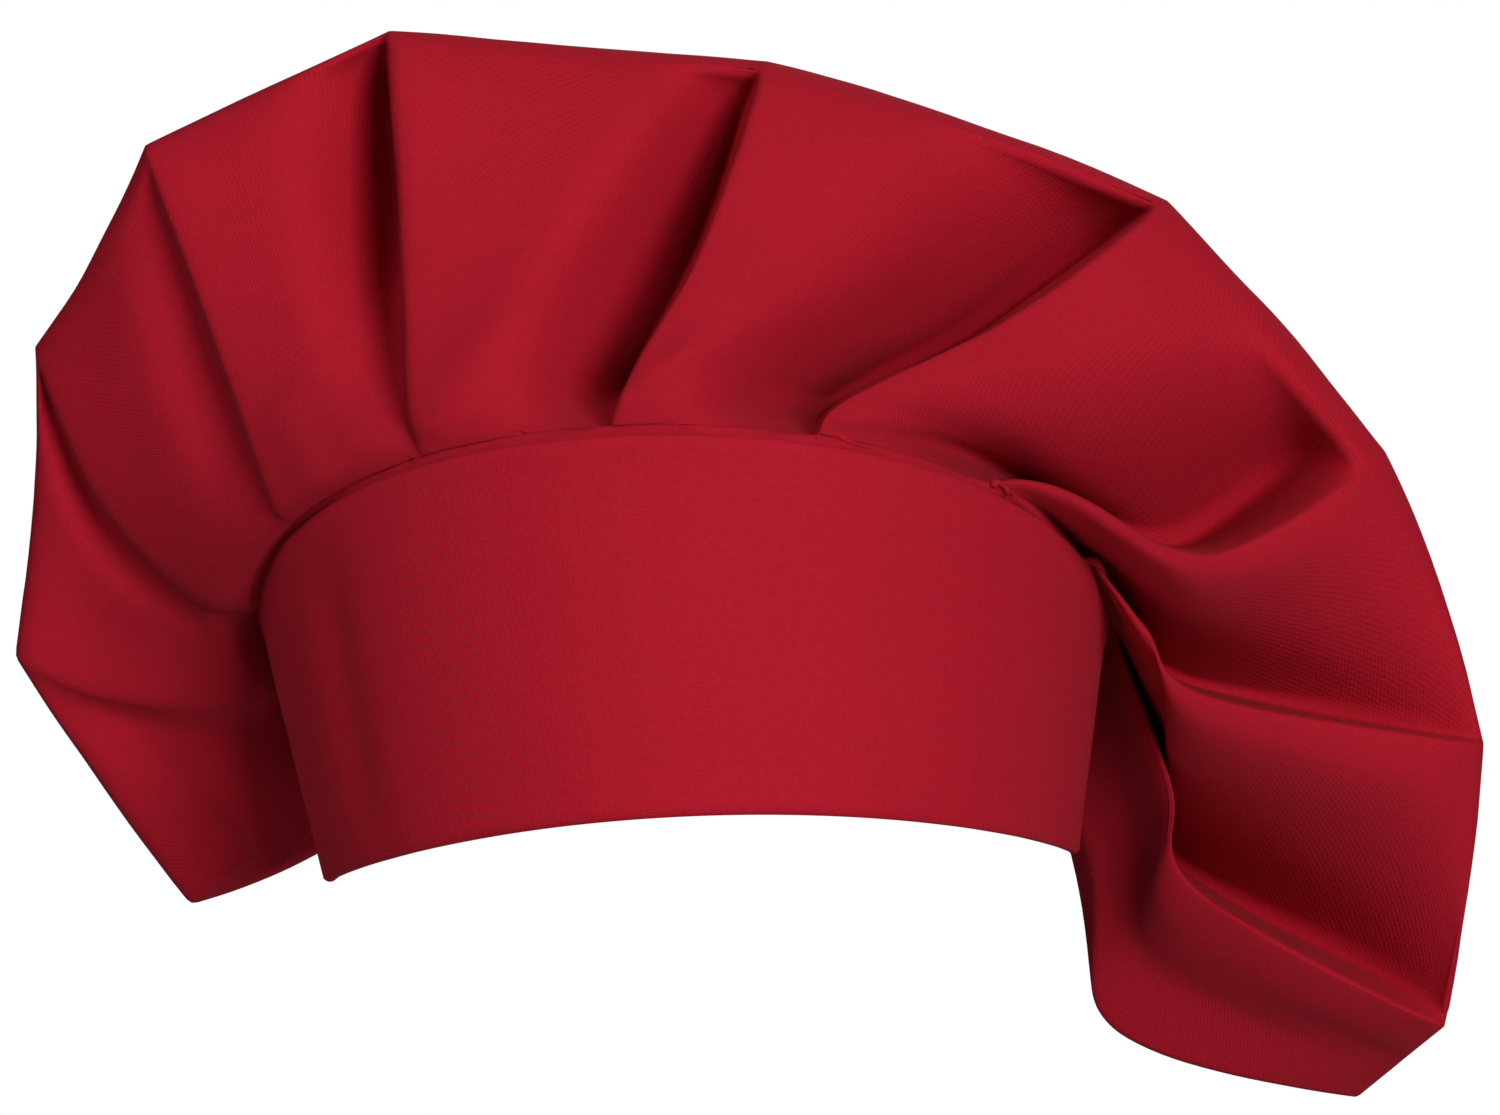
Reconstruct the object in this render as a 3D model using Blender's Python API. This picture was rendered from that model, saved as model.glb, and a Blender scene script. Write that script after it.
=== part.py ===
"""A floppy pleated chef hat: an upright oval head band, and one full round crown of thin cloth that is
knife pleated into the band's upper edge.

The crown fans up and leans back over the front, and hangs in a short lobe on the left and a long lobe
on the right. Its folds are rows of one table; the cloth between two folds is worked out from them.
Units are metres, +Z is up, the front of the hat faces -Y and +X is on the right seen from the front.
The origin is the centre of the head opening, level with the band's lower edge at its two sides.
"""

import math
from collections import namedtuple

import bmesh
import bpy
import numpy as np

# Head band: the outside of its lower edge, the cloth, and how far the wall leans out up to the seam
BAND_WIDTH = 0.1684
BAND_LENGTH = 0.1980
BAND_WALL = 0.0024
BAND_FLARE_FRONT = 0.0040
BAND_FLARE_LEFT = 0.0125
BAND_FLARE_RIGHT = 0.0080

# Heights of the band: the arch of its lower edge, and of the seam at its upper edge
BAND_ARCH = 0.0150
SEAM_FRONT_HEIGHT = 0.0950
SEAM_SIDE_HEIGHT = 0.0547
SEAM_BACK_HEIGHT = 0.0700
SEAM_TILT = 0.0045
ARCH_POWER = 1.5
SEAM_POWER = 0.75
SEAM_SOFTNESS = 0.01

# Crown: the cloth, and the lengths that the fold table's shares are taken of
CROWN_WALL = 0.0012
LEFT_SPREAD = 0.0600
RIGHT_SPREAD = 0.0900
CROWN_LEAN = 0.0600
CROWN_RISE = 0.0960
LOBE_DROP = 0.0900
PLEAT_DEPTH = 0.0220
FOOT_PULL = 0.0120
RIM_PULL = 0.0300
TOP_PULL = 0.1500
CENTRE_BACK = 0.0350
CENTRE_RISE = 0.0650
CENTRE_PULL = 0.1700

# Where crown and band meet: the crown's foot stands just clear of the band's edge and a little inside
PIECE_GAP = 0.0003
FOOT_INSET = 0.0006
BAND_CLEARANCE = 0.0022

CLOTH_RED = (0.43, 0.008, 0.018, 1.0)

# Each fold starts at seam_angle degrees round the seam, from the front and positive to the right. Its
# crest passes near and far and ends at the rim; these are (across, back, up) from its place on the
# seam, in shares of the spreads, the lean, and the rise or the drop. The other columns shape the cloth
# from this crest to the next one. In shares of the pleat depth: depth is its valley's, swell is how far
# it stands out beside the crest, and bow is how far its rim stands out. In shares of the way to the next
# crest: shoulder_seam and shoulder_rim are where it turns down into the valley, and wall is how wide the
# valley's far side is at the rim. valley_end is where the valley ends, in shares of the crest's length.
Fold = namedtuple(
    "Fold", "seam_angle near far rim depth swell bow shoulder_seam shoulder_rim wall valley_end"
)
FOLDS = (
    Fold(-145, (-0.62, -0.43, -0.69), (-0.83, -0.73, -0.75), (-1.08, -0.90, -0.85),
         0.30, 0.05, 0.05, 0.30, 0.60, 0.05, 0.95),
    Fold(-118, (-0.22, -0.30, -0.27), (-0.80, -0.47, -0.26), (-1.15, -0.55, -0.14),
         0.60, 0.05, -0.10, 0.30, 0.70, 0.03, 0.95),
    Fold(-91, (-0.23, -0.10, 0.04), (-0.59, 0.00, 0.29), (-0.82, 0.10, 0.66),
         0.60, 0.05, -0.08, 0.20, 0.80, 0.03, 0.95),
    Fold(-62, (-0.08, -0.03, 0.07), (-0.27, 0.13, 0.42), (-0.52, 0.47, 0.90),
         0.70, 0.06, 0.00, 0.25, 0.85, 0.02, 0.95),
    Fold(-35, (-0.05, 0.00, 0.14), (-0.07, 0.27, 0.48), (-0.10, 0.73, 1.00),
         1.00, 0.08, 0.00, 0.15, 0.85, 0.02, 0.95),
    Fold(-9, (0.04, 0.00, 0.12), (0.22, 0.30, 0.41), (0.40, 0.95, 0.85),
         1.00, 0.10, 0.10, 0.15, 0.85, 0.02, 0.95),
    Fold(18, (0.06, 0.03, 0.10), (0.44, 0.43, 0.26), (0.88, 1.05, 0.54),
         0.80, 0.12, 0.05, 0.20, 0.80, 0.10, 0.96),
    Fold(45, (0.14, 0.05, 0.02), (0.54, 0.47, -0.16), (1.00, 0.97, 0.07),
         0.80, 0.20, 0.35, 0.25, 0.35, 0.15, 0.95),
    Fold(71, (0.13, 0.07, -0.13), (0.28, 0.15, -0.31), (0.99, 0.57, -0.47),
         0.80, 0.20, 0.05, 0.15, 0.30, 0.20, 0.95),
    Fold(98, (0.12, -0.23, -0.38), (0.20, -0.32, -0.67), (0.83, -0.15, -1.04),
         0.50, 0.15, 0.00, 0.20, 0.40, 0.20, 0.90),
    Fold(126, (0.17, -0.25, -0.70), (0.20, -0.42, -1.15), (0.81, -0.50, -1.33),
         0.30, 0.05, 0.10, 0.40, 0.60, 0.20, 0.95),
    Fold(150, (0.18, 0.25, -0.15), (0.63, 0.35, -0.55), (0.86, 0.28, -0.90),
         0.25, 0.10, 0.20, 0.30, 0.60, 0.10, 0.90),
    Fold(174, (0.02, 0.25, 0.02), (0.33, 0.57, -0.30), (0.53, 0.60, -0.60),
         0.25, 0.10, 0.20, 0.30, 0.60, 0.10, 0.90),
    Fold(196, (-0.05, 0.25, 0.02), (-0.30, 0.55, -0.30), (-0.50, 0.58, -0.50),
         0.25, 0.10, 0.20, 0.30, 0.60, 0.10, 0.90),
)

# Shares of the way from seam to rim: where a crest passes near and far, where a valley is full, and
# where it starts to end. Below SEAM_EVEN the columns of the mesh are spaced more evenly.
NEAR_SHARE = 0.22
FAR_SHARE = 0.60
VALLEY_FULL = 0.50
VALLEY_TURN = 0.55
SEAM_EVEN = 0.10
DROOP_LIFT = 0.6
TOP_CLIMB = 1.5

# How many steps the meshes are worked out in
BAND_ROWS = 5
FRONT_ROWS = 14
TOP_ROWS = 8
ROW_CROWDING = 1.35


def smooth_step(value):
    """Ease from 0 to 1."""
    value = min(max(value, 0.0), 1.0)
    return value * value * (3.0 - 2.0 * value)


def seam_height(angle):
    """Height of the seam, which drops from front and back to the two sides."""
    facing = math.cos(angle)
    top_height = SEAM_FRONT_HEIGHT if facing > 0 else SEAM_BACK_HEIGHT
    lowest = SEAM_SOFTNESS ** (SEAM_POWER / 2.0)
    highest = (1.0 + SEAM_SOFTNESS) ** (SEAM_POWER / 2.0)
    share = ((facing * facing + SEAM_SOFTNESS) ** (SEAM_POWER / 2.0) - lowest) / (highest - lowest)
    return SEAM_SIDE_HEIGHT + (top_height - SEAM_SIDE_HEIGHT) * share - SEAM_TILT * math.sin(angle)


def edge_height(angle):
    """Height of the band's lower edge, which arches up at front and back."""
    return BAND_ARCH * abs(math.cos(angle)) ** ARCH_POWER


def band_point(angle, share, inset):
    """A point of the band's wall: share runs from the lower edge to the seam, inset is into the wall."""
    across = math.sin(angle)
    flare_side = BAND_FLARE_RIGHT if across > 0 else BAND_FLARE_LEFT
    half_width = BAND_WIDTH / 2.0 + flare_side * share - inset
    half_length = BAND_LENGTH / 2.0 + BAND_FLARE_FRONT * share - inset
    low = edge_height(angle)
    height = low + (seam_height(angle) - low) * share
    return np.array((half_width * across, -half_length * math.cos(angle), height))


def foot_point(angle, inset):
    """A point of the crown's foot, which stands just clear above the band's upper edge."""
    point = band_point(angle, 1.0, FOOT_INSET + inset)
    point[2] += PIECE_GAP
    return point


def clear_of_band(point):
    """Keep a point of the crown's outside off the band's upper edge and outer face."""
    half_width = BAND_WIDTH / 2.0 + (BAND_FLARE_RIGHT if point[0] > 0 else BAND_FLARE_LEFT)
    half_length = BAND_LENGTH / 2.0 + BAND_FLARE_FRONT
    angle = math.atan2(point[0] / half_width, -point[1] / half_length)
    distance = math.hypot(point[0], point[1])
    edge = math.hypot(half_width * math.sin(angle), half_length * math.cos(angle))
    outward = distance - edge
    upward = point[2] - seam_height(angle)
    if outward > 0.0 and upward > 0.0:
        short = BAND_CLEARANCE / max(math.hypot(outward, upward), 1e-6)
        if short <= 1.0:
            return point
        outward *= short
        upward *= short
    elif max(outward, upward) >= BAND_CLEARANCE:
        return point
    elif outward > upward:
        outward = BAND_CLEARANCE
    else:
        upward = BAND_CLEARANCE
    scale = (edge + outward) / distance
    return np.array((point[0] * scale, point[1] * scale, seam_height(angle) + upward))


def reach(across, back, up):
    """Turn a fold's shares into a distance from its place on the seam."""
    spread = RIGHT_SPREAD if across > 0 else LEFT_SPREAD
    climb = CROWN_RISE if up > 0 else LOBE_DROP
    return np.array((across * spread, back * CROWN_LEAN, up * climb))


def hermite(start, start_pull, end, end_pull, share):
    """A curve from start to end that leaves and arrives along the two pulls."""
    square = share * share
    cube = square * share
    return (
        (2 * cube - 3 * square + 1) * start
        + (cube - 2 * square + share) * start_pull
        + (3 * square - 2 * cube) * end
        + (cube - square) * end_pull
    )


def crest_reach(fold, share):
    """How far a fold's crest has come from the seam, by near and far to the rim."""
    foot = np.zeros(3)
    near = reach(*fold.near)
    far = reach(*fold.far)
    rim = reach(*fold.rim)
    up = np.array((0.0, 0.0, 1.0))
    back = np.array((0.0, 1.0, 0.0))
    stations = (0.0, NEAR_SHARE, FAR_SHARE, 1.0)
    points = (foot, near, far, rim)
    foot_pull = FOOT_PULL + DROOP_LIFT * max(0.0, -near[2])
    slopes = (
        up * foot_pull / NEAR_SHARE,
        (far - foot) / FAR_SHARE,
        (rim - near) / (1.0 - NEAR_SHARE),
        back * RIM_PULL / (1.0 - FAR_SHARE),
    )
    section = 0 if share < NEAR_SHARE else 1 if share < FAR_SHARE else 2
    width = stations[section + 1] - stations[section]
    return hermite(
        points[section],
        slopes[section] * width,
        points[section + 1],
        slopes[section + 1] * width,
        (share - stations[section]) / width,
    )


def seam_turn(fold, following, way):
    """The angle round the seam at a share of the way from one fold to the next."""
    turn = (following.seam_angle - fold.seam_angle) % 360.0
    return math.radians(fold.seam_angle + turn * way)


def stretched_point(fold, following, way, share):
    """A point of the cloth pulled straight between two crests, which follows the seam near its foot."""
    first = foot_point(seam_turn(fold, following, 0.0), 0.0)
    second = foot_point(seam_turn(fold, following, 1.0), 0.0)
    straight = first + (second - first) * way
    curved = foot_point(seam_turn(fold, following, way), 0.0)
    base = straight + (curved - straight) * (1.0 - share) ** 2
    first_reach = crest_reach(fold, share)
    return base + first_reach + (crest_reach(following, share) - first_reach) * way


def valley_share(fold, share):
    """How much of its full depth the valley beside a fold has: none at the seam, a round end."""
    rise = smooth_step(share / VALLEY_FULL)
    if share < VALLEY_TURN:
        return rise
    run = (share - VALLEY_TURN) / (fold.valley_end - VALLEY_TURN)
    return rise * math.sqrt(max(0.0, 1.0 - run * run))


def cloth_section(fold, share):
    """The cloth from one crest to the next as (way to the next crest, depth below the crests)."""
    full = valley_share(fold, share)
    depth = PLEAT_DEPTH * fold.depth * full
    swell = PLEAT_DEPTH * fold.swell * math.sin(math.pi * share)
    shoulder = fold.shoulder_seam + (fold.shoulder_rim - fold.shoulder_seam) * smooth_step(share)
    bottom = 1.0 - fold.wall
    section = (
        (0.0, 0.0),
        (0.45 * shoulder, 0.02 * depth - swell),
        (shoulder, 0.12 * depth - 0.5 * swell),
        (0.5 * (shoulder + bottom), 0.62 * depth),
        (bottom - 0.02, depth),
        (0.5 * (bottom + 1.0), 0.5 * depth),
    )
    sharpness = smooth_step(share / SEAM_EVEN)
    evened = []
    for column, (way, depth) in enumerate(section):
        even = column / len(section)
        evened.append((even + (way - even) * sharpness, depth))
    return evened


def panel_inward(index, share):
    """The direction into the crown, square to the cloth between a crest and the next one."""
    fold = FOLDS[index % len(FOLDS)]
    following = FOLDS[(index + 1) % len(FOLDS)]
    step = 0.1
    upper = stretched_point(fold, following, 0.5, share + step)
    lower = stretched_point(fold, following, 0.5, share - step)
    first = stretched_point(fold, following, 0.0, share)
    second = stretched_point(fold, following, 1.0, share)
    direction = np.cross(upper - lower, second - first)
    return direction / np.linalg.norm(direction)


def crest_inward(index, share):
    """The direction into the crown at a crest, turning evenly from its seam end to its rim end."""
    near_end = panel_inward(index - 1, NEAR_SHARE) + panel_inward(index, NEAR_SHARE)
    far_end = panel_inward(index - 1, FAR_SHARE) + panel_inward(index, FAR_SHARE)
    return near_end + (far_end - near_end) * smooth_step(share)


def rim_bow(fold, following, way, share):
    """How far the cloth stands out between two crests as it nears the rim."""
    along_rim = stretched_point(fold, following, 1.0, 1.0) - stretched_point(fold, following, 0.0, 1.0)
    outward = np.cross(np.array((0.0, -1.0, 0.0)), along_rim)
    outward /= np.linalg.norm(outward)
    return outward * PLEAT_DEPTH * fold.bow * 4.0 * way * (1.0 - way) * smooth_step(2.0 * share - 1.0)


def front_ring(share):
    """One ring of the crown's outside between the seam and the rim."""
    ring = []
    for index, fold in enumerate(FOLDS):
        following = FOLDS[(index + 1) % len(FOLDS)]
        first = crest_inward(index, share)
        second = crest_inward(index + 1, share)
        for way, depth in cloth_section(fold, share):
            direction = first + (second - first) * way
            direction /= np.linalg.norm(direction)
            point = stretched_point(fold, following, way, share) + direction * depth
            ring.append(clear_of_band(point + rim_bow(fold, following, way, share)))
    return np.array(ring)


def seam_angles():
    """Where the columns of both pieces stand round the seam."""
    angles = []
    for index, fold in enumerate(FOLDS):
        following = FOLDS[(index + 1) % len(FOLDS)]
        for way, _ in cloth_section(fold, 0.0):
            angles.append(seam_turn(fold, following, way))
    return angles


def seam_ring(inset):
    """The crown's foot."""
    return np.array([foot_point(angle, inset) for angle in seam_angles()])


def rim_ring(evenness):
    """The rim, spaced as the rings before it are or more evenly."""
    ring = []
    for index, fold in enumerate(FOLDS):
        following = FOLDS[(index + 1) % len(FOLDS)]
        section = cloth_section(fold, 1.0)
        for column, (way, _) in enumerate(section):
            way += (column / len(section) - way) * evenness
            ring.append(stretched_point(fold, following, way, 1.0) + rim_bow(fold, following, way, 1.0))
    return np.array(ring)


def crown_outside():
    """All rings of the crown's outside, from its foot over the rim to its middle."""
    rings = [seam_ring(0.0)]
    for row in range(1, FRONT_ROWS + 1):
        rings.append(front_ring((row / FRONT_ROWS) ** ROW_CROWDING))
    centre = np.array((0.0, CENTRE_BACK, SEAM_FRONT_HEIGHT + CENTRE_RISE))
    for row in range(1, TOP_ROWS + 1):
        share = row / (TOP_ROWS + 0.35)
        rim = rim_ring(smooth_step(2.0 * share))
        home = centre - rim
        home[:, 2] = 0.0
        home /= np.linalg.norm(home, axis=1)[:, None]
        pull = np.zeros(rim.shape)
        pull[:, 1] = TOP_PULL
        pull[:, 2] = TOP_CLIMB * np.maximum(0.0, SEAM_FRONT_HEIGHT - rim[:, 2])
        ring = hermite(rim, pull, centre, home * CENTRE_PULL, share)
        rings.append(np.array([clear_of_band(point) for point in ring]))
    return rings, centre


def add_piece(name, vertices, faces, colour):
    """Make one closed piece with its own cloth material."""
    mesh = bpy.data.meshes.new(name)
    mesh.from_pydata([tuple(point) for point in vertices], [], faces)
    shape = bmesh.new()
    shape.from_mesh(mesh)
    bmesh.ops.recalc_face_normals(shape, faces=shape.faces)
    shape.to_mesh(mesh)
    shape.free()
    mesh.shade_smooth()
    mesh.set_sharp_from_angle(angle=math.radians(40.0))
    material = bpy.data.materials.new(name + "_cloth")
    material.use_nodes = True
    surface = material.node_tree.nodes["Principled BSDF"]
    surface.inputs["Base Color"].default_value = colour
    surface.inputs["Roughness"].default_value = 0.85
    surface.inputs["Metallic"].default_value = 0.0
    mesh.materials.append(material)
    piece = bpy.data.objects.new(name, mesh)
    bpy.context.scene.collection.objects.link(piece)
    return piece


def join_rings(first, second, count):
    """The faces between two closed rings of vertices that start at the given indices."""
    faces = []
    for index in range(count):
        following = (index + 1) % count
        faces.append((first + index, first + following, second + following, second + index))
    return faces


def make_band():
    """The head band: a closed oval wall with an arched lower edge and a seam that drops at the sides."""
    loops = []
    for row in range(BAND_ROWS):
        loops.append((row / (BAND_ROWS - 1), 0.0))
    for row in reversed(range(BAND_ROWS)):
        loops.append((row / (BAND_ROWS - 1), BAND_WALL))
    angles = seam_angles()
    count = len(angles)
    vertices = []
    for share, inset in loops:
        for angle in angles:
            vertices.append(band_point(angle, share, inset))
    faces = []
    for loop in range(len(loops)):
        following = (loop + 1) % len(loops)
        faces += join_rings(loop * count, following * count, count)
    return add_piece("band", vertices, faces, CLOTH_RED)


def make_crown():
    """The crown: a thin pleated shell, open at its foot, whose inside follows its outside."""
    rings, centre = crown_outside()
    count = len(rings[0])
    outside = np.concatenate(rings + [centre[None, :]])
    faces = []
    for row in range(len(rings) - 1):
        faces += join_rings(row * count, (row + 1) * count, count)
    last = (len(rings) - 1) * count
    middle = len(outside) - 1
    for index in range(count):
        faces.append((last + index, last + (index + 1) % count, middle))
    mesh = bpy.data.meshes.new("outside")
    mesh.from_pydata([tuple(point) for point in outside], [], faces)
    normals = np.array([tuple(vertex.normal) for vertex in mesh.vertices])
    bpy.data.meshes.remove(mesh)
    if normals[middle][2] < 0.0:
        normals = -normals
    for row in range(len(rings) - TOP_ROWS, len(rings)):
        share = (row - len(rings) + TOP_ROWS + 1.0) / TOP_ROWS
        ring = slice(row * count, (row + 1) * count)
        normals[ring] += (normals[middle] - normals[ring]) * share * share
    normals /= np.linalg.norm(normals, axis=1)[:, None]
    inside = outside - normals * CROWN_WALL
    inside[:count] = seam_ring(CROWN_WALL)
    offset = len(outside)
    faces += [tuple(offset + index for index in reversed(face)) for face in faces]
    faces += join_rings(0, offset, count)
    return add_piece("crown", np.concatenate((outside, inside)), faces, CLOTH_RED)


for leftover in list(bpy.data.objects):
    bpy.data.objects.remove(leftover)

make_band()
make_crown()
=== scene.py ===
"""The look of the floppy pleated chef hat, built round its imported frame.

The crown and the band repeat the frame's own rules and sizes with many more columns and rows, and add
what the frame leaves out: deeper valleys, soft creases, small wrinkles, rounded folds and the woven cloth.
A few folds of the two lobes hang a little further back than in the frame.
Units are metres, +Z is up, the front of the hat faces -Y and +X is on the right seen from the front.
"""

import math
from collections import namedtuple

import bmesh
import bpy
import numpy as np
from mathutils import Matrix, Vector, noise


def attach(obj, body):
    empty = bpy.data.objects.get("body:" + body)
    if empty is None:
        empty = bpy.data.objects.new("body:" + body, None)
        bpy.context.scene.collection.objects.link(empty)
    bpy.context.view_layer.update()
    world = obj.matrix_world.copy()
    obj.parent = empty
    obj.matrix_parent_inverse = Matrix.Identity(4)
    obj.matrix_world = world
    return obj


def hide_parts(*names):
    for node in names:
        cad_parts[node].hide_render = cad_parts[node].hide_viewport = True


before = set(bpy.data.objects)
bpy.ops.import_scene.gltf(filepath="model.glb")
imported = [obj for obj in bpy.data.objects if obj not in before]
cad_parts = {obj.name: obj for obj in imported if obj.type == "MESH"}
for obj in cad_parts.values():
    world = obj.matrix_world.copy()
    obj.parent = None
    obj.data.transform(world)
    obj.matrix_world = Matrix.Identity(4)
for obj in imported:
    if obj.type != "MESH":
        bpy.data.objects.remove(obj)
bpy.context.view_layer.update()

# Head band, as in the frame
BAND_WIDTH = 0.1684
BAND_LENGTH = 0.1980
BAND_WALL = 0.0024
BAND_FLARE_FRONT = 0.0040
BAND_FLARE_LEFT = 0.0125
BAND_FLARE_RIGHT = 0.0080
BAND_ARCH = 0.0150
SEAM_FRONT_HEIGHT = 0.0950
SEAM_SIDE_HEIGHT = 0.0547
SEAM_BACK_HEIGHT = 0.0700
SEAM_TILT = 0.0045
ARCH_POWER = 1.5
SEAM_POWER = 0.75
SEAM_SOFTNESS = 0.01

# Crown, as in the frame
LEFT_SPREAD = 0.0600
RIGHT_SPREAD = 0.0900
CROWN_LEAN = 0.0600
CROWN_RISE = 0.0960
LOBE_DROP = 0.0900
PLEAT_DEPTH = 0.0220
FOOT_PULL = 0.0120
RIM_PULL = 0.0300
TOP_PULL = 0.1500
CENTRE_BACK = 0.0350
CENTRE_RISE = 0.0650
CENTRE_PULL = 0.1700
NEAR_SHARE = 0.22
FAR_SHARE = 0.60
VALLEY_TURN = 0.55
DROOP_LIFT = 0.6
TOP_CLIMB = 1.5
BAND_CLEARANCE = 0.0022

# Cloth as it looks: its thickness, its radius when laid flat, and how the crown's foot tucks in at the seam
CLOTH_THICKNESS = 0.0009
CLOTH_RADIUS = 0.26
FOOT_INSET = 0.0009
FOOT_SINK = 0.0004
FOOT_EASE = 0.03
SEAM_EVEN = 0.05

# Small wrinkles of the crown: how high they are, how many to a metre, and the rows over which they begin
WRINKLE_HEIGHT = 0.0007
RIPPLE_HEIGHT = 0.0002
WRINKLES = 28.0
RIPPLES = 75.0
RIPPLE_SHIFT = (3.1, 5.2, 7.3)
WRINKLE_FREE_ROWS = 10.0

# Band as it looks: its rounded edges, the raised strip below the seam, the soft upright dent, whose place
# and width are degrees round the seam, and slow waves as high as the crown's wrinkles
BAND_COLUMNS = 240
BAND_ROWS = 40
BAND_FIRST_SHARE = 0.012
BAND_ROWS_SHARE = 0.983
BAND_FOLD_SHARE = 0.002
BAND_ROUNDING = 0.0006
STRIP_DEPTH = 0.0035
STRIP_EDGE = 0.0016
STRIP_HEIGHT = 0.00035
DENT_PLACE = -57.0
DENT_WIDTH = 4.5
DENT_DEPTH = 0.0012
DENT_EASE = 3.0
BAND_WAVE_TURN = 1.6
BAND_WAVE_CLIMB = 0.9
BAND_WAVE_EASE = 6.0

# Weave, nap and dye: the flat band's size for the weave, the weave's scale (about 3 threads to a metre
# for each 1), spots of nap and dye to a metre, how strong they are, and the two dyes
WEAVE_TURN = 0.092
WEAVE_CLIMB = 0.08
WEAVE_SCALE = 560.0
NAP_SPOTS = 900.0
DYE_SPOTS = 22.0
NAP_STRENGTH = 0.22
WEAVE_STRENGTH = 0.55
WEAVE_DEPTH = 0.0002
RED = (0.50, 0.0110, 0.0275, 1.0)
DARKER_RED = (0.46, 0.0095, 0.0250, 1.0)

# Columns from one crest to the next: on the panel, down into the valley, and up the valley's far wall
PANEL_COLUMNS = 9
SLOPE_COLUMNS = 9
WALL_COLUMNS = 9
FRONT_ROWS = 66
TOP_ROWS = 36
TOP_LAST_GAP = 0.35
MIDDLE_ROWS = 8
ROW_CROWDING = 1.25

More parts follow.
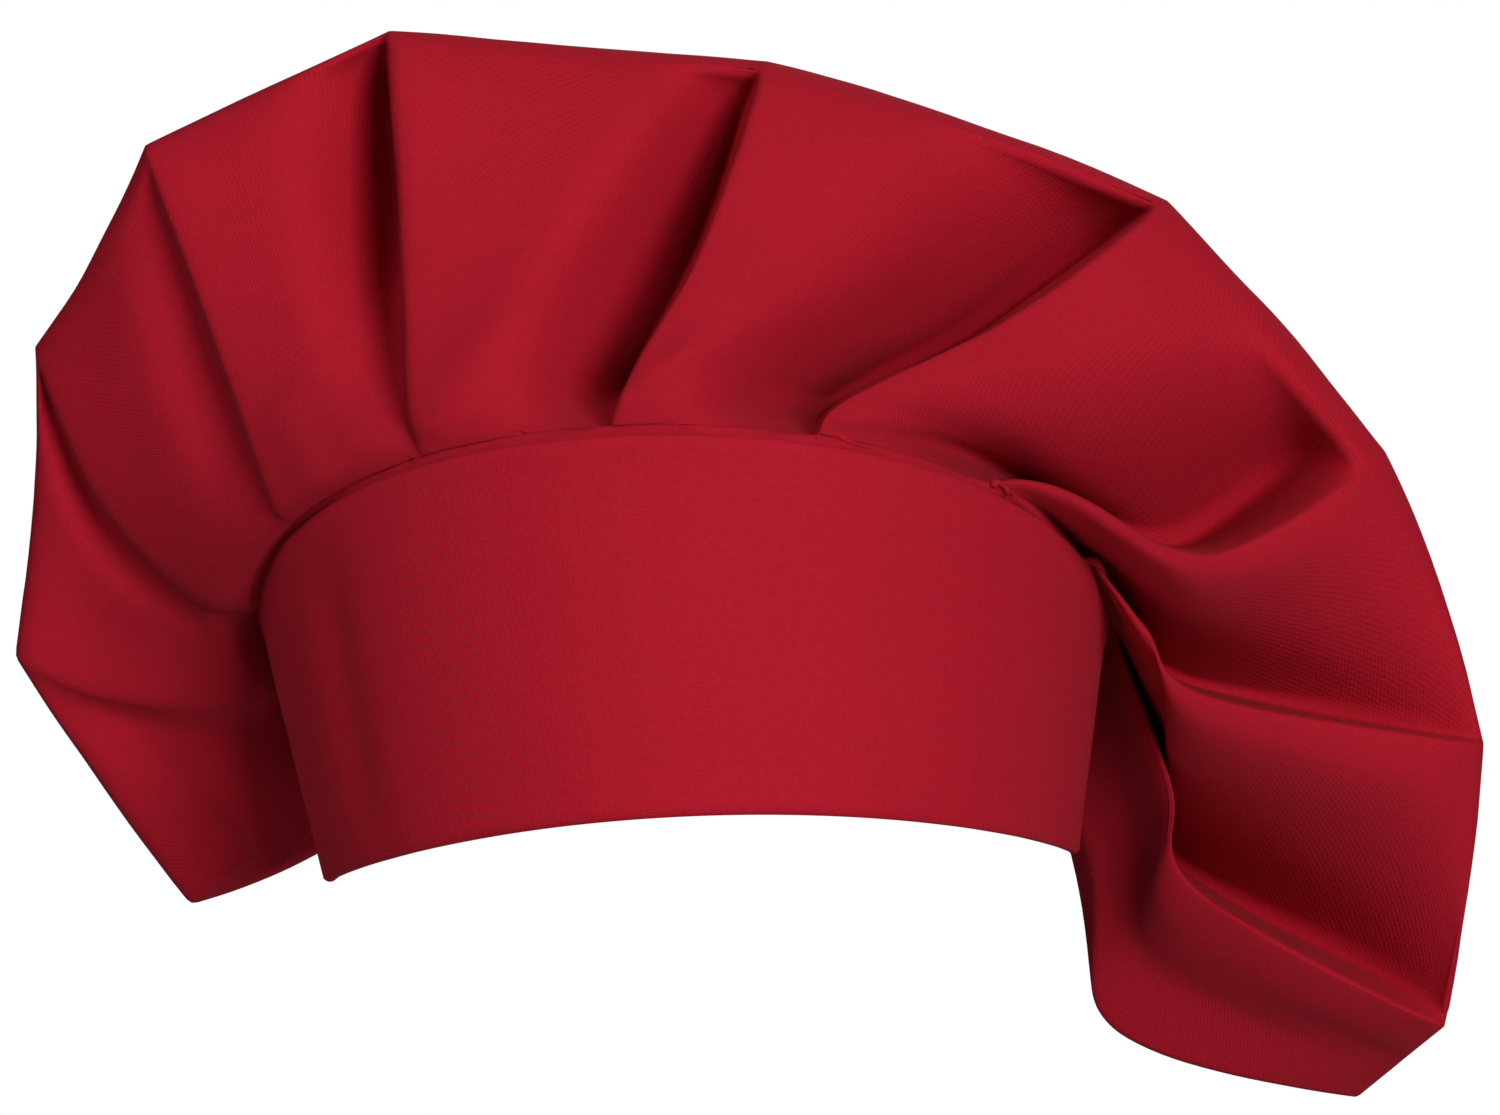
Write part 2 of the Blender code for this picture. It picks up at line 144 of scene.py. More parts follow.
# Each fold starts at seam_angle degrees round the seam, from the front and positive to the right. Its
# crest passes near and far and ends at the rim; these are (across, back, up) from its place on the
# seam, in shares of the spreads, the lean, and the rise or the drop. The other columns shape the cloth
# from this crest to the next one. In shares of the pleat depth: depth is its valley's, swell how high
# the roll beside the crest stands, and bow how far the rim stands out. In shares of the way to the next
# crest: roll is the roll's width, and shoulder and bottom are where the cloth turns down and where it is
# deepest, near the seam, half way and at the rim. lead and climb are the curves of the cloth down to the
# bottom and up from it. In shares of the crest's length: full is where the valley is full, end where it
# ends. level is how far the valley goes straight back and not square to the cloth. fade is how gently
# the valley ends, from a round end below 1 to a long soft one.
Fold = namedtuple(
    "Fold", "seam_angle near far rim depth swell bow roll shoulder bottom lead climb full end level fade"
)
FOLDS = (
    Fold(-145, (-0.62, -0.38, -0.69), (-0.83, -0.45, -0.75), (-1.08, -0.38, -0.85),
         0.20, 0.03, 0.05, 0.20, (0.40, 0.45, 0.50), (0.85, 0.80, 0.80), 1.2, 1.6, 0.50, 0.92, 0.0, 1.0),
    Fold(-118, (-0.22, -0.30, -0.27), (-0.80, -0.45, -0.26), (-1.15, -0.48, -0.14),
         0.50, 0.05, -0.10, 0.10, (0.45, 0.55, 0.60), (0.95, 0.95, 0.95), 1.2, 2.0, 0.60, 0.90, 1.0, 0.6),
    Fold(-91, (-0.23, -0.20, 0.04), (-0.59, -0.18, 0.29), (-0.82, -0.02, 0.66),
         0.50, 0.05, -0.08, 0.10, (0.45, 0.50, 0.55), (0.95, 0.94, 0.94), 1.2, 2.0, 0.60, 0.90, 1.0, 0.6),
    Fold(-62, (-0.08, -0.12, 0.07), (-0.27, -0.02, 0.42), (-0.52, 0.25, 0.90),
         1.80, 0.04, 0.00, 0.08, (0.60, 0.40, 0.45), (0.97, 0.95, 0.95), 1.6, 1.6, 0.80, 0.95, 1.0, 0.6),
    Fold(-35, (-0.05, 0.00, 0.14), (-0.07, 0.27, 0.48), (-0.10, 0.73, 1.00),
         2.10, 0.04, 0.00, 0.06, (0.35, 0.35, 0.66), (0.98, 0.95, 0.96), 1.6, 1.4, 0.26, 0.92, 1.0, 0.6),
    Fold(-9, (0.04, 0.00, 0.12), (0.22, 0.30, 0.41), (0.40, 0.95, 0.85),
         2.90, 0.04, 0.10, 0.06, (0.25, 0.14, 0.30), (0.98, 0.96, 0.96), 1.5, 1.4, 0.26, 0.92, 1.0, 0.6),
    Fold(18, (0.06, 0.03, 0.10), (0.44, 0.43, 0.26), (0.88, 1.05, 0.54),
         2.80, 0.05, 0.05, 0.06, (0.10, 0.10, 0.35), (0.98, 0.97, 0.84), 1.3, 1.3, 0.24, 0.88, 1.0, 0.6),
    Fold(45, (0.14, 0.05, 0.02), (0.54, 0.40, -0.16), (1.00, 0.90, 0.07),
         2.40, 0.22, 0.10, 0.15, (0.14, 0.17, 0.20), (0.97, 0.97, 0.98), 0.9, 1.2, 0.14, 1.00, 1.0, 2.0),
    Fold(71, (0.13, 0.07, -0.13), (0.28, 0.15, -0.31), (0.99, 0.57, -0.47),
         2.90, 0.22, 0.05, 0.14, (0.14, 0.16, 0.18), (0.97, 0.97, 0.92), 0.9, 1.2, 0.14, 1.00, 1.0, 1.4),
    Fold(98, (0.165, -0.08, -0.38), (0.23, 0.10, -0.68), (0.85, 0.25, -1.06),
         0.30, 0.10, 0.00, 0.12, (0.15, 0.20, 0.25), (0.65, 0.60, 0.60), 1.0, 1.3, 0.30, 1.00, 0.5, 1.0),
    Fold(126, (0.17, -0.12, -0.70), (0.21, 0.10, -1.16), (0.84, 0.15, -1.36),
         0.30, 0.05, 0.10, 0.20, (0.30, 0.35, 0.40), (0.75, 0.75, 0.75), 1.2, 1.4, 0.50, 0.95, 0.0, 0.6),
    Fold(150, (0.18, 0.25, -0.15), (0.63, 0.35, -0.55), (0.86, 0.28, -0.90),
         0.25, 0.10, 0.20, 0.20, (0.35, 0.40, 0.40), (0.85, 0.80, 0.80), 1.2, 1.6, 0.50, 0.90, 0.0, 0.6),
    Fold(174, (0.02, 0.25, 0.02), (0.33, 0.57, -0.30), (0.53, 0.60, -0.60),
         0.25, 0.10, 0.20, 0.20, (0.35, 0.40, 0.40), (0.85, 0.80, 0.80), 1.2, 1.6, 0.50, 0.90, 0.0, 0.6),
    Fold(196, (-0.05, 0.25, 0.02), (-0.30, 0.55, -0.30), (-0.50, 0.58, -0.50),
         0.10, 0.05, 0.20, 0.20, (0.35, 0.40, 0.40), (0.80, 0.75, 0.75), 1.2, 1.6, 0.50, 0.90, 0.0, 1.0),
)
SHOULDER_ROUNDING = 0.15
STRAIGHT_BACK = np.array((0.0, 1.0, 0.0))

# Soft creases: the fold whose panel they cross, from and to as (way to the next crest, share of the way
# to the rim), half the crease's width, and how far it stands out, or in where that is below zero
Crease = namedtuple("Crease", "fold start end half_width height")
CREASES = (
    Crease(3, (0.40, 0.10), (0.20, 0.45), 0.0070, 0.0018),
    Crease(4, (0.06, 0.10), (0.84, 0.88), 0.0080, 0.0024),
    Crease(5, (0.06, 0.20), (0.62, 0.75), 0.0060, 0.0034),
    Crease(6, (0.06, 0.12), (0.70, 0.32), 0.0045, 0.0026),
    Crease(7, (0.10, 0.45), (0.75, 0.80), 0.0050, 0.0018),
    Crease(7, (0.52, 0.88), (0.50, 1.00), 0.0025, -0.0012),
    Crease(8, (0.20, 0.40), (0.90, 0.85), 0.0050, -0.0022),
    Crease(9, (0.45, 0.75), (0.50, 1.00), 0.0030, -0.0010),
)
COLUMNS = (PANEL_COLUMNS + SLOPE_COLUMNS + WALL_COLUMNS) * len(FOLDS)

# The size that a panel's creases are drawn for
PANEL_WIDTH = 0.065
PANEL_LENGTH = 0.105

# Camera, level with the middle of the hat and turned a little about its line of sight
CAMERA_PLACE = (0.0131, -1.6, 0.0688)
CAMERA_ROLL = -2.2
VIEW_WIDTH = 0.33525
SENSOR_WIDTH = 36.0

# Studio light: bearings are degrees to the right of the front, heights are degrees above level
Lamp = namedtuple("Lamp", "name bearing height distance size power")
LAMPS = (
    Lamp("key", 21.0, 8.0, 2.2, 0.8, 37.5),
    Lamp("fill", -44.0, 34.0, 2.4, 1.0, 14.5),
    Lamp("top", 10.0, 60.0, 2.0, 1.2, 1.5),
    Lamp("back", 160.0, 25.0, 2.0, 1.2, 9.0),
)
LIT_PLACE = (0.01, 0.0, 0.07)
SURROUND_GLOW = 0.04
FLOOR_RADIUS = 1.1
FLOOR_PLACE = (0.0, 0.1, -0.50)
FLOOR_PAINT = (0.6, 0.6, 0.6, 1.0)


def smooth_step(value):
    """Ease from 0 to 1."""
    value = np.clip(value, 0.0, 1.0)
    return value * value * (3.0 - 2.0 * value)


def seam_height(angle):
    """Height of the seam, which drops from front and back to the two sides."""
    facing = np.cos(angle)
    top_height = np.where(facing > 0, SEAM_FRONT_HEIGHT, SEAM_BACK_HEIGHT)
    lowest = SEAM_SOFTNESS ** (SEAM_POWER / 2.0)
    highest = (1.0 + SEAM_SOFTNESS) ** (SEAM_POWER / 2.0)
    share = ((facing * facing + SEAM_SOFTNESS) ** (SEAM_POWER / 2.0) - lowest) / (highest - lowest)
    return SEAM_SIDE_HEIGHT + (top_height - SEAM_SIDE_HEIGHT) * share - SEAM_TILT * np.sin(angle)


def edge_height(angle):
    """Height of the band's lower edge, which arches up at front and back."""
    return BAND_ARCH * np.abs(np.cos(angle)) ** ARCH_POWER


def band_point(angle, share, inset):
    """Points of the band's wall: share runs from the lower edge to the seam, inset is into the wall."""
    across = np.sin(angle)
    flare_side = np.where(across > 0, BAND_FLARE_RIGHT, BAND_FLARE_LEFT)
    half_width = BAND_WIDTH / 2.0 + flare_side * share - inset
    half_length = BAND_LENGTH / 2.0 + BAND_FLARE_FRONT * share - inset
    low = edge_height(angle)
    height = low + (seam_height(angle) - low) * share
    return np.stack((half_width * across, -half_length * np.cos(angle), height), axis=-1)


def foot_point(angle, inset):
    """Points of the crown's foot at the band's upper edge."""
    point = band_point(angle, 1.0, FOOT_INSET + inset)
    point[..., 2] -= FOOT_SINK
    return point


def clear_of_band(points, clearance):
    """Keep points of the cloth off the band's upper edge and outer face."""
    half_width = BAND_WIDTH / 2.0 + np.where(points[..., 0] > 0, BAND_FLARE_RIGHT, BAND_FLARE_LEFT)
    half_length = BAND_LENGTH / 2.0 + BAND_FLARE_FRONT
    angle = np.arctan2(points[..., 0] / half_width, -points[..., 1] / half_length)
    distance = np.maximum(np.hypot(points[..., 0], points[..., 1]), 1e-6)
    edge = np.hypot(half_width * np.sin(angle), half_length * np.cos(angle))
    outward = distance - edge
    upward = points[..., 2] - seam_height(angle)
    corner = (outward > 0.0) & (upward > 0.0)
    short = clearance / np.maximum(np.hypot(outward, upward), 1e-6)
    stretch = np.where(corner & (short > 1.0), short, 1.0)
    beside = ~corner & (np.maximum(outward, upward) < clearance) & (outward > upward)
    above = ~corner & (np.maximum(outward, upward) < clearance) & (outward <= upward)
    outward = np.where(beside, clearance, outward * stretch)
    upward = np.where(above, clearance, upward * stretch)
    scale = (edge + outward) / distance
    moved = np.stack(
        (points[..., 0] * scale, points[..., 1] * scale, seam_height(angle) + upward), axis=-1
    )
    changed = (stretch > 1.0) | beside | above
    return np.where(changed[..., None], moved, points)


def reach(across, back, up):
    """Turn a fold's shares into a distance from its place on the seam."""
    spread = RIGHT_SPREAD if across > 0 else LEFT_SPREAD
    climb = CROWN_RISE if up > 0 else LOBE_DROP
    return np.array((across * spread, back * CROWN_LEAN, up * climb))


def hermite(start, start_pull, end, end_pull, share):
    """A curve from start to end that leaves and arrives along the two pulls."""
    square = share * share
    cube = square * share
    return (
        (2 * cube - 3 * square + 1) * start
        + (cube - 2 * square + share) * start_pull
        + (3 * square - 2 * cube) * end
        + (cube - square) * end_pull
    )


def crest_reach(fold, shares):
    """How far a fold's crest has come from the seam, by near and far to the rim."""
    foot = np.zeros(3)
    near = reach(*fold.near)
    far = reach(*fold.far)
    rim = reach(*fold.rim)
    up = np.array((0.0, 0.0, 1.0))
    back = np.array((0.0, 1.0, 0.0))
    stations = (0.0, NEAR_SHARE, FAR_SHARE, 1.0)
    points = (foot, near, far, rim)
    foot_pull = FOOT_PULL + DROOP_LIFT * max(0.0, -near[2])
    slopes = (
        up * foot_pull / NEAR_SHARE,
        (far - foot) / FAR_SHARE,
        (rim - near) / (1.0 - NEAR_SHARE),
        back * RIM_PULL / (1.0 - FAR_SHARE),
    )
    shares = np.asarray(shares, dtype=float)[..., None]
    curve = np.zeros(shares.shape[:-1] + (3,))
    for section in range(3):
        width = stations[section + 1] - stations[section]
        part = hermite(
            points[section],
            slopes[section] * width,
            points[section + 1],
            slopes[section + 1] * width,
            (shares - stations[section]) / width,
        )
        inside = shares >= stations[section]
        curve = np.where(inside, part, curve)
    return curve


def seam_turn(fold, following, way):
    """The angle round the seam at a share of the way from one fold to the next."""
    turn = (following.seam_angle - fold.seam_angle) % 360.0
    return np.radians(fold.seam_angle + turn * way)


def stretched_points(fold, following, way, shares):
    """The cloth pulled straight between two crests: one row for each share, one column for each way."""
    first = foot_point(seam_turn(fold, following, np.float64(0.0)), 0.0)
    second = foot_point(seam_turn(fold, following, np.float64(1.0)), 0.0)
    straight = first + (second - first) * way[..., None]
    curved = foot_point(seam_turn(fold, following, way), 0.0)
    fade = (1.0 - shares)[:, None, None] ** 2
    first_reach = crest_reach(fold, shares)[:, None, :]
    second_reach = crest_reach(following, shares)[:, None, :]
    return straight + (curved - straight) * fade + first_reach + (second_reach - first_reach) * way[..., None]


def valley_share(fold, shares):
    """How much of its full depth the valley beside a fold has: none at the seam, a round end."""
    rise = smooth_step(shares / fold.full)
    run = np.clip((shares - VALLEY_TURN) / (fold.end - VALLEY_TURN), 0.0, 1.0)
    return rise * (1.0 - run * run) ** fold.fade


def along_crest(three, shares):
    """A length that changes along the crest, from its values near the seam, half way and at the rim."""
    near, middle, rim = three
    value = near + (middle - near) * smooth_step((shares - 0.10) / 0.35)
    return (value + (rim - middle) * smooth_step((shares - 0.5) / 0.4))[:, None]


def cloth_section(fold, shares):
    """The cloth from one crest to the next: the way to the next crest and the depth, row by row."""
    full = valley_share(fold, shares)[:, None]
    depth = PLEAT_DEPTH * fold.depth * full
    stand = PLEAT_DEPTH * fold.swell * np.sin(math.pi * np.sqrt(shares))[:, None] ** 0.7
    start = along_crest(fold.shoulder, shares)
    bottom = along_crest(fold.bottom, shares)
    panel = (np.arange(PANEL_COLUMNS) / PANEL_COLUMNS) ** 1.5
    slope = np.arange(SLOPE_COLUMNS) / SLOPE_COLUMNS
    wall = (np.arange(WALL_COLUMNS) / WALL_COLUMNS) ** 0.8
    panel_way = start * panel
    slope_way = start + (bottom - start) * slope
    wall_way = bottom + (1.0 - bottom) * wall
    rounded = np.hypot(slope, SHOULDER_ROUNDING) - SHOULDER_ROUNDING
    rounded /= math.hypot(1.0, SHOULDER_ROUNDING) - SHOULDER_ROUNDING
    slope_depth = depth * rounded**fold.lead
    wall_depth = depth * (1.0 - wall**fold.climb)
    way = np.concatenate((panel_way, slope_way, wall_way), axis=1)
    sunk = np.concatenate((np.zeros(panel_way.shape), slope_depth, wall_depth), axis=1)
    up = np.clip(way / fold.roll, 0.0, 1.0)
    down = 1.0 - smooth_step((way - fold.roll) / (0.9 * (bottom - fold.roll)))
    raised = stand * np.sqrt(1.0 - (1.0 - up) ** 2) * down
    even = (np.arange(way.shape[1]) / way.shape[1])[None, :]
    sharpness = smooth_step(shares / SEAM_EVEN)[:, None]
    return even + (way - even) * sharpness, sunk - raised


def panel_inward(index, shares):
    """The directions into the crown, square to the cloth between a crest and the next one."""
    fold = FOLDS[index % len(FOLDS)]
    following = FOLDS[(index + 1) % len(FOLDS)]
    step = 0.1
    middle = np.full((len(shares), 1), 0.5)
    upper = stretched_points(fold, following, middle, shares + step)
    lower = stretched_points(fold, following, middle, shares - step)
    first = stretched_points(fold, following, np.zeros((len(shares), 1)), shares)
    second = stretched_points(fold, following, np.ones((len(shares), 1)), shares)
    direction = np.cross((upper - lower)[:, 0], (second - first)[:, 0])
    return direction / np.linalg.norm(direction, axis=1)[:, None]


def crest_inward(index, shares):
    """The directions into the crown at a crest, turning evenly from its seam end to its rim end."""
    ends = np.array((NEAR_SHARE, FAR_SHARE))
    near_end, far_end = panel_inward(index - 1, ends) + panel_inward(index, ends)
    return near_end + (far_end - near_end) * smooth_step(shares)[:, None]


def rim_bow(fold, following, way, shares):
    """How far the cloth stands out between two crests as it nears the rim."""
    ends = stretched_points(fold, following, np.array(((0.0, 1.0),)), np.array((1.0,)))[0]
    outward = np.cross(np.array((0.0, -1.0, 0.0)), ends[1] - ends[0])
    outward /= np.linalg.norm(outward)
    lift = PLEAT_DEPTH * fold.bow * 4.0 * way * (1.0 - way) * smooth_step(2.0 * shares - 1.0)[:, None]
    return lift[..., None] * outward


def crease_heights(index, way, shares):
    """How far the soft creases of one panel stand out, row by row."""
    heights = np.zeros(way.shape)
    for crease in CREASES:
        if crease.fold != index:
            continue
        start = np.array(crease.start) * (PANEL_WIDTH, PANEL_LENGTH)
        end = np.array(crease.end) * (PANEL_WIDTH, PANEL_LENGTH)
        line = end - start
        across = way * PANEL_WIDTH - start[0]
        along = (shares * PANEL_LENGTH)[:, None] - start[1]
        run = np.clip((across * line[0] + along * line[1]) / (line @ line), 0.0, 1.0)
        away = np.hypot(across - run * line[0], along - run * line[1])
        fade = np.sqrt(np.clip(4.0 * run * (1.0 - run), 0.0, 1.0))
        heights += crease.height * fade * np.exp(-((away / crease.half_width) ** 2))
    return heights


def front_rows(shares):
    """The rows of the crown's outside between the seam and the rim."""
    panels = []
    for index, fold in enumerate(FOLDS):
        following = FOLDS[(index + 1) % len(FOLDS)]
        way, depth = cloth_section(fold, shares)
        depth = depth - crease_heights(index, way, shares)
        first = crest_inward(index, shares)[:, None, :]
        second = crest_inward(index + 1, shares)[:, None, :]
        direction = first + (second - first) * way[..., None]
        direction /= np.linalg.norm(direction, axis=-1)[..., None]
        direction += (STRAIGHT_BACK - direction) * fold.level
        points = stretched_points(fold, following, way, shares) + direction * depth[..., None]
        panels.append(points + rim_bow(fold, following, way, shares))
    return np.concatenate(panels, axis=1)


def rim_row(evenness):
    """The rim, spaced as the rows before it are or more evenly."""
    panels = []
    one = np.array((1.0,))
    for index, fold in enumerate(FOLDS):
        following = FOLDS[(index + 1) % len(FOLDS)]
        way, _ = cloth_section(fold, one)
        even = (np.arange(way.shape[1]) / way.shape[1])[None, :]
        way = way + (even - way) * evenness
        points = stretched_points(fold, following, way, one) + rim_bow(fold, following, way, one)
        panels.append(points[0])
    return np.concatenate(panels, axis=0)


def crown_rows():
    """All rows of the crown's outside, from its foot over the rim to its middle."""
    shares = (np.arange(1, FRONT_ROWS + 1) / FRONT_ROWS) ** ROW_CROWDING
    front = front_rows(shares)
    ramp = smooth_step(shares / FOOT_EASE)[:, None]
    front = clear_of_band(front, BAND_CLEARANCE * ramp)
    angles = []
    for index, fold in enumerate(FOLDS):
        following = FOLDS[(index + 1) % len(FOLDS)]
        way, _ = cloth_section(fold, np.array((0.0,)))
        angles.append(seam_turn(fold, following, way[0]))
    foot = foot_point(np.concatenate(angles), 0.0)
    centre = np.array((0.0, CENTRE_BACK, SEAM_FRONT_HEIGHT + CENTRE_RISE))
    rows = [foot[None], front]
    for row in range(1, TOP_ROWS + 1):
        share = row / (TOP_ROWS + TOP_LAST_GAP)
        rim = rim_row(float(smooth_step(2.0 * share)))
        home = centre - rim
        home[:, 2] = 0.0
        home /= np.linalg.norm(home, axis=1)[:, None]
        pull = np.zeros(rim.shape)
        pull[:, 1] = TOP_PULL
        pull[:, 2] = TOP_CLIMB * np.maximum(0.0, SEAM_FRONT_HEIGHT - rim[:, 2])
        ring = hermite(rim, pull, centre, home * CENTRE_PULL, share)
        rows.append(clear_of_band(ring, BAND_CLEARANCE)[None])
    return np.concatenate(rows, axis=0), centre


def grid_normals(grid):
    """Outward normals of a grid of rows that close on themselves."""
    along = np.roll(grid, -1, axis=1) - np.roll(grid, 1, axis=1)
    up = np.empty_like(grid)
    up[1:-1] = grid[2:] - grid[:-2]
    up[0] = grid[1] - grid[0]
    up[-1] = grid[-1] - grid[-2]
    normal = np.cross(along, up)
    length = np.linalg.norm(normal, axis=-1)[..., None]
    return normal / np.maximum(length, 1e-12)


def relax_columns(grid, rounds):
    """Round the folds a little: each point moves towards the middle of its two neighbours in its row."""
    for _ in range(rounds):
        middle = 0.5 * (np.roll(grid, 1, axis=1) + np.roll(grid, -1, axis=1))
        grid[1:] += 0.5 * (middle - grid)[1:]
    return grid


def small_wrinkles(grid):
    """Heights of small soft wrinkles over the crown."""
    heights = np.zeros(grid.shape[:2])
    for row in range(grid.shape[0]):
        for column in range(grid.shape[1]):
            place = Vector(grid[row, column])
            broad = noise.noise(place * WRINKLES)
            fine = noise.noise(place * RIPPLES + Vector(RIPPLE_SHIFT))
            heights[row, column] = WRINKLE_HEIGHT * broad + RIPPLE_HEIGHT * fine
    return heights


def add_piece(name, vertices, faces, flat):
    """Make one piece, smooth shaded, with its flat cloth coordinates."""
    mesh = bpy.data.meshes.new(name)
    mesh.from_pydata([tuple(point) for point in vertices], [], faces)
    layer = mesh.uv_layers.new(name="weave")
    for loop in mesh.loops:
        layer.data[loop.index].uv = flat[loop.vertex_index]
    mesh.shade_smooth()
    mesh.update()
    piece = bpy.data.objects.new(name, mesh)
    bpy.context.scene.collection.objects.link(piece)
    return piece


def join_rings(first, second, count):
    """The faces between two closed rings of vertices that start at the given indices."""
    faces = []
    for index in range(count):
        following = (index + 1) % count
        faces.append((first + index, first + following, second + following, second + index))
    return faces


def make_crown(material):
    """The crown: a thin pleated shell of cloth, open at its foot."""
    grid, centre = crown_rows()
    grid = relax_columns(grid, 1)
    heights = small_wrinkles(grid)
    rows = grid.shape[0]
    fade = smooth_step(np.arange(rows) / WRINKLE_FREE_ROWS)[:, None]
    grid = grid + grid_normals(grid) * (heights * fade)[..., None]
    normals = grid_normals(grid)
    last_normal = normals[-1].mean(axis=0)
    last_normal /= np.linalg.norm(last_normal)
    for row in range(rows - MIDDLE_ROWS, rows):
        nearness = (row - rows + MIDDLE_ROWS + 1) / MIDDLE_ROWS
        normals[row] += (last_normal - normals[row]) * nearness**2
    outside = np.concatenate((grid.reshape(-1, 3), centre[None]))
    inside_grid = grid - normals * CLOTH_THICKNESS
    inside = np.concatenate((inside_grid.reshape(-1, 3), (centre - last_normal * CLOTH_THICKNESS)[None]))
    faces = []
    for row in range(rows - 1):
        faces += join_rings(row * COLUMNS, (row + 1) * COLUMNS, COLUMNS)
    last = (rows - 1) * COLUMNS
    middle = len(outside) - 1
    for index in range(COLUMNS):
        faces.append((last + index, last + (index + 1) % COLUMNS, middle))
    offset = len(outside)
    faces += [tuple(offset + index for index in reversed(face)) for face in faces]
    faces += [tuple(reversed(face)) for face in join_rings(0, offset, COLUMNS)]
    flat = []
    for row in range(rows):
        radius = CLOTH_RADIUS * (1.0 - row / rows)
        for column in range(COLUMNS):
            turn = 2.0 * math.pi * column / COLUMNS
            flat.append((radius * math.cos(turn), radius * math.sin(turn)))
    flat.append((0.0, 0.0))
    crown = add_piece("crown_cloth", np.concatenate((outside, inside)), faces, flat + flat)
    crown.data.materials.append(material)
    return crown


def band_loops():
    """The band's section as (share of its height, inset into the wall): outside, top, inside, lower fold."""
    shares = [BAND_FIRST_SHARE + BAND_ROWS_SHARE * row / BAND_ROWS for row in range(BAND_ROWS + 1)]
    outside = [(share, 0.0) for share in shares]
    top = [(1.0, BAND_ROUNDING), (1.0, BAND_WALL - BAND_ROUNDING)]
    inside = [(share, BAND_WALL) for share in reversed(shares)]
    lower_fold = [
        (BAND_FOLD_SHARE, BAND_WALL - BAND_ROUNDING),
        (0.0, 0.5 * BAND_WALL),
        (BAND_FOLD_SHARE, BAND_ROUNDING),
    ]
    return outside + top + inside + lower_fold


def band_waves(angles, share):
    """How far the band's slow waves stand out along one loop."""
    waves = []
    for angle in angles:
        turn = (math.sin(angle) * BAND_WAVE_TURN, math.cos(angle) * BAND_WAVE_TURN)
        place = Vector((turn[0], turn[1], share * BAND_WAVE_CLIMB))
        waves.append(WRINKLE_HEIGHT * noise.noise(place) + RIPPLE_HEIGHT * noise.noise(place * 4.0))
    return np.array(waves)


def make_band(material):
    """The band: a doubled wall with a rounded lower fold and a raised strip below the seam."""
    angles = math.pi + 2.0 * math.pi * np.arange(BAND_COLUMNS) / BAND_COLUMNS
    height = seam_height(angles) - edge_height(angles)
    turn = (np.degrees(angles) + 180.0) % 360.0 - 180.0
    loops = band_loops()
    vertices = []
    flat = []
    for share, inset in loops:
        below = (1.0 - share) * height
        strip = STRIP_HEIGHT * (1.0 - smooth_step((below - STRIP_DEPTH) / STRIP_EDGE))
        dent = DENT_DEPTH * np.exp(-(((turn - DENT_PLACE) / DENT_WIDTH) ** 2))
        dent *= smooth_step(share * DENT_EASE) * smooth_step((1.0 - share) * DENT_EASE)
        waves = band_waves(angles, share) * smooth_step((1.0 - share) * BAND_WAVE_EASE)
        outer = inset < 0.5 * BAND_WALL
        sink = dent - waves - (strip if outer else 0.0)
        vertices.append(band_point(angles, share, inset + sink))
        for angle in angles:
            flat.append((angle * WEAVE_TURN, share * WEAVE_CLIMB))
    count = len(loops)
    faces = []
    for loop in range(count):
        faces += join_rings(loop * BAND_COLUMNS, ((loop + 1) % count) * BAND_COLUMNS, BAND_COLUMNS)
    band = add_piece("band_cloth", np.concatenate(vertices), faces, flat)
    band.data.materials.append(material)
    return band


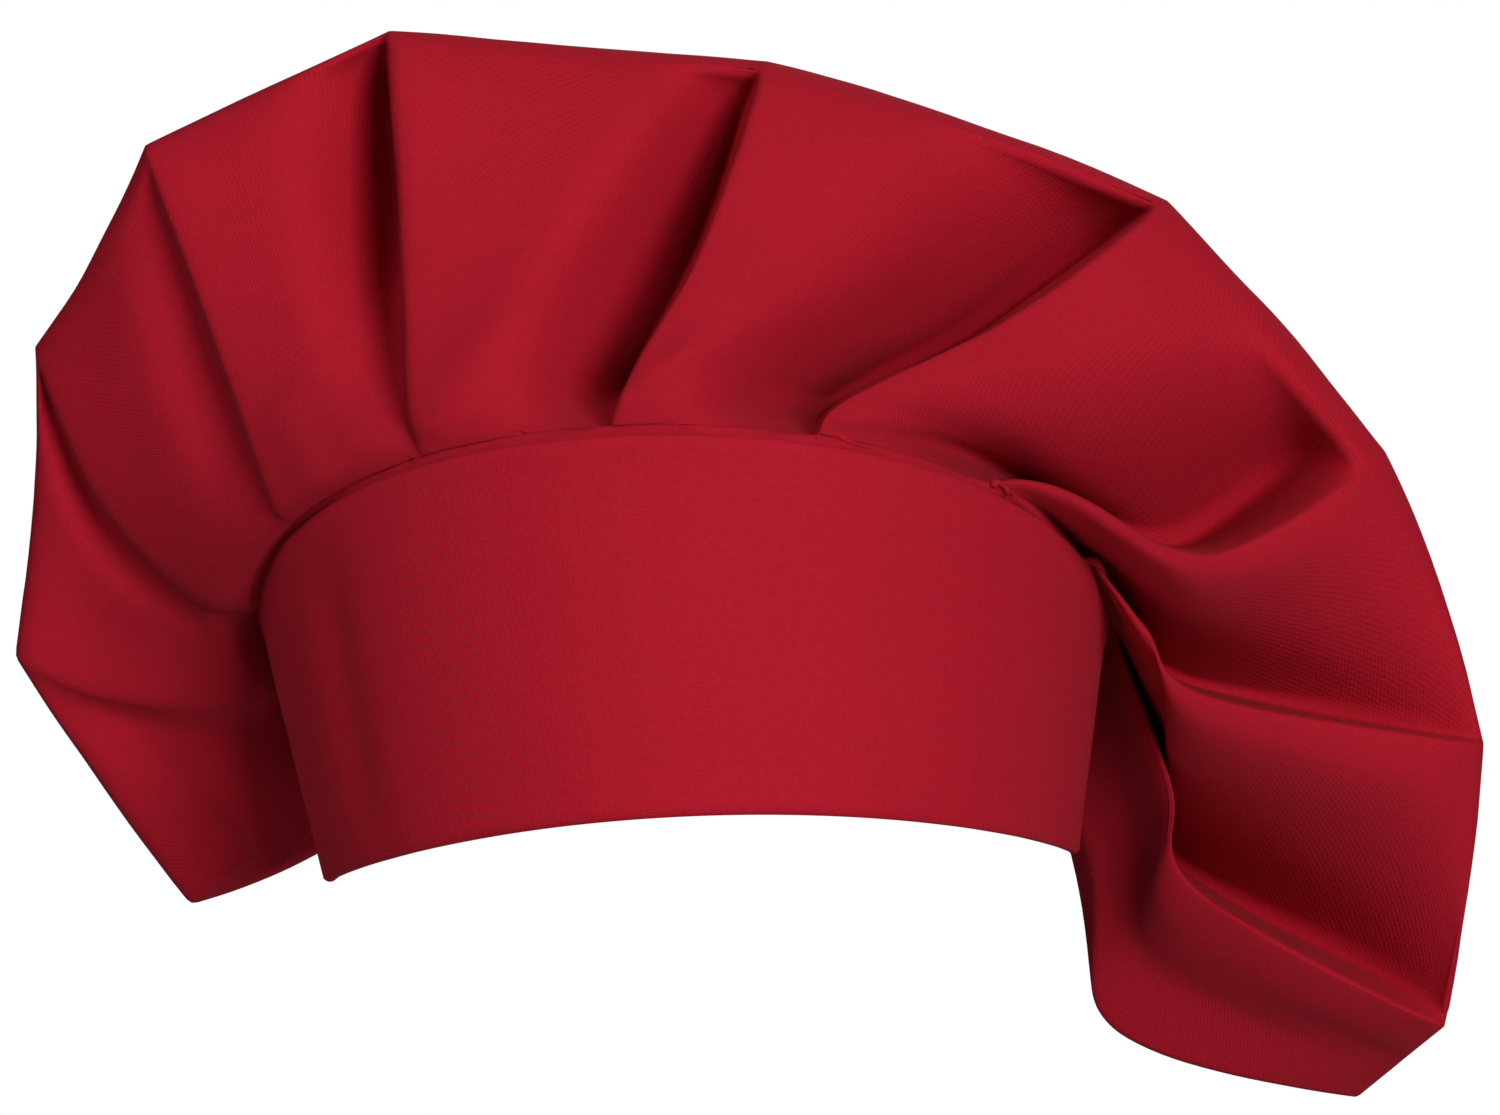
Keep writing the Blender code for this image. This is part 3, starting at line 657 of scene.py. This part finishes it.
def cloth_material(name, colour, rough_colour):
    """A woven matte cloth: threads both ways, a fine nap, and a little unevenness in the dye."""
    material = bpy.data.materials.new(name)
    material.use_nodes = True
    nodes = material.node_tree.nodes
    links = material.node_tree.links
    surface = nodes["Principled BSDF"]
    surface.inputs["Roughness"].default_value = 0.8
    surface.inputs["Metallic"].default_value = 0.0
    surface.inputs["Specular IOR Level"].default_value = 0.06
    surface.inputs["Sheen Weight"].default_value = 0.02
    surface.inputs["Sheen Roughness"].default_value = 0.5
    surface.inputs["Sheen Tint"].default_value = (1.0, 0.45, 0.5, 1.0)

    coordinates = nodes.new("ShaderNodeTexCoord")
    weave_map = nodes.new("ShaderNodeUVMap")
    weave_map.uv_map = "weave"

    dye = nodes.new("ShaderNodeTexNoise")
    dye.inputs["Scale"].default_value = DYE_SPOTS
    dye.inputs["Detail"].default_value = 5.0
    links.new(coordinates.outputs["Object"], dye.inputs["Vector"])
    nap = nodes.new("ShaderNodeTexNoise")
    nap.inputs["Scale"].default_value = NAP_SPOTS
    nap.inputs["Detail"].default_value = 3.0
    links.new(coordinates.outputs["Object"], nap.inputs["Vector"])

    shade = nodes.new("ShaderNodeMix")
    shade.data_type = "RGBA"
    shade.inputs["A"].default_value = rough_colour
    shade.inputs["B"].default_value = colour
    links.new(dye.outputs["Fac"], shade.inputs["Factor"])
    fleck = nodes.new("ShaderNodeMix")
    fleck.data_type = "RGBA"
    fleck.blend_type = "MULTIPLY"
    fleck.inputs["Factor"].default_value = NAP_STRENGTH
    links.new(shade.outputs["Result"], fleck.inputs["A"])
    links.new(nap.outputs["Fac"], fleck.inputs["B"])
    links.new(fleck.outputs["Result"], surface.inputs["Base Color"])

    heights = []
    for direction in ("X", "Y"):
        thread = nodes.new("ShaderNodeTexWave")
        thread.wave_type = "BANDS"
        thread.bands_direction = direction
        thread.inputs["Scale"].default_value = WEAVE_SCALE
        thread.inputs["Distortion"].default_value = 0.6
        thread.inputs["Detail"].default_value = 1.0
        links.new(weave_map.outputs["UV"], thread.inputs["Vector"])
        heights.append(thread.outputs["Fac"])
    weave = nodes.new("ShaderNodeMath")
    weave.operation = "MULTIPLY"
    links.new(heights[0], weave.inputs[0])
    links.new(heights[1], weave.inputs[1])
    both = nodes.new("ShaderNodeMath")
    both.operation = "ADD"
    links.new(weave.outputs[0], both.inputs[0])
    links.new(nap.outputs["Fac"], both.inputs[1])
    bump = nodes.new("ShaderNodeBump")
    bump.inputs["Strength"].default_value = WEAVE_STRENGTH
    bump.inputs["Distance"].default_value = WEAVE_DEPTH
    links.new(both.outputs[0], bump.inputs["Height"])
    links.new(bump.outputs["Normal"], surface.inputs["Normal"])
    return material


def add_area_light(lamp):
    """A soft square light that faces the hat from a bearing and a height, both in degrees."""
    data = bpy.data.lights.new(lamp.name, "AREA")
    data.energy = lamp.power
    data.size = lamp.size
    light = bpy.data.objects.new(lamp.name, data)
    bearing = math.radians(lamp.bearing)
    height = math.radians(lamp.height)
    towards = Vector((
        math.sin(bearing) * math.cos(height),
        -math.cos(bearing) * math.cos(height),
        math.sin(height),
    ))
    light.location = Vector(LIT_PLACE) + towards * lamp.distance
    light.rotation_euler = (-towards).to_track_quat("-Z", "Y").to_euler()
    bpy.context.scene.collection.objects.link(light)


def make_studio():
    """A pale floor well below the hat, a white surround and the soft lights."""
    mesh = bpy.data.meshes.new("floor")
    shape = bmesh.new()
    bmesh.ops.create_circle(shape, cap_ends=True, segments=96, radius=FLOOR_RADIUS)
    shape.to_mesh(mesh)
    shape.free()
    floor = bpy.data.objects.new("floor", mesh)
    floor.location = FLOOR_PLACE
    bpy.context.scene.collection.objects.link(floor)
    paint = bpy.data.materials.new("floor_paint")
    paint.use_nodes = True
    surface = paint.node_tree.nodes["Principled BSDF"]
    surface.inputs["Base Color"].default_value = FLOOR_PAINT
    surface.inputs["Roughness"].default_value = 0.9
    mesh.materials.append(paint)

    world = bpy.data.worlds.new("surround")
    world.use_nodes = True
    nodes = world.node_tree.nodes
    links = world.node_tree.links
    nodes.clear()
    seen = nodes.new("ShaderNodeBackground")
    seen.inputs["Color"].default_value = (1.0, 1.0, 1.0, 1.0)
    seen.inputs["Strength"].default_value = 1.0
    glow = nodes.new("ShaderNodeBackground")
    glow.inputs["Color"].default_value = (1.0, 1.0, 1.0, 1.0)
    glow.inputs["Strength"].default_value = SURROUND_GLOW
    path = nodes.new("ShaderNodeLightPath")
    choice = nodes.new("ShaderNodeMixShader")
    output = nodes.new("ShaderNodeOutputWorld")
    links.new(path.outputs["Is Camera Ray"], choice.inputs["Fac"])
    links.new(glow.outputs["Background"], choice.inputs[1])
    links.new(seen.outputs["Background"], choice.inputs[2])
    links.new(choice.outputs["Shader"], output.inputs["Surface"])
    bpy.context.scene.world = world
    bpy.context.scene.view_settings.view_transform = "Standard"

    for lamp in LAMPS:
        add_area_light(lamp)


def make_camera():
    """The camera, at the photo's angle."""
    data = bpy.data.cameras.new("camera")
    data.sensor_width = SENSOR_WIDTH
    data.lens = SENSOR_WIDTH * -CAMERA_PLACE[1] / VIEW_WIDTH
    data.clip_start = 0.05
    camera = bpy.data.objects.new("camera", data)
    bpy.context.scene.collection.objects.link(camera)
    upright = Matrix.Rotation(math.radians(90.0), 4, "X")
    roll = Matrix.Rotation(math.radians(CAMERA_ROLL), 4, "Z")
    camera.matrix_world = Matrix.Translation(CAMERA_PLACE) @ upright @ roll
    bpy.context.scene.camera = camera


make_camera()
make_studio()

red = cloth_material("red_cloth", RED, DARKER_RED)

crown = make_crown(red)
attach(crown, "root")
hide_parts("crown")

band = make_band(red)
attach(band, "root")
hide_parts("band")
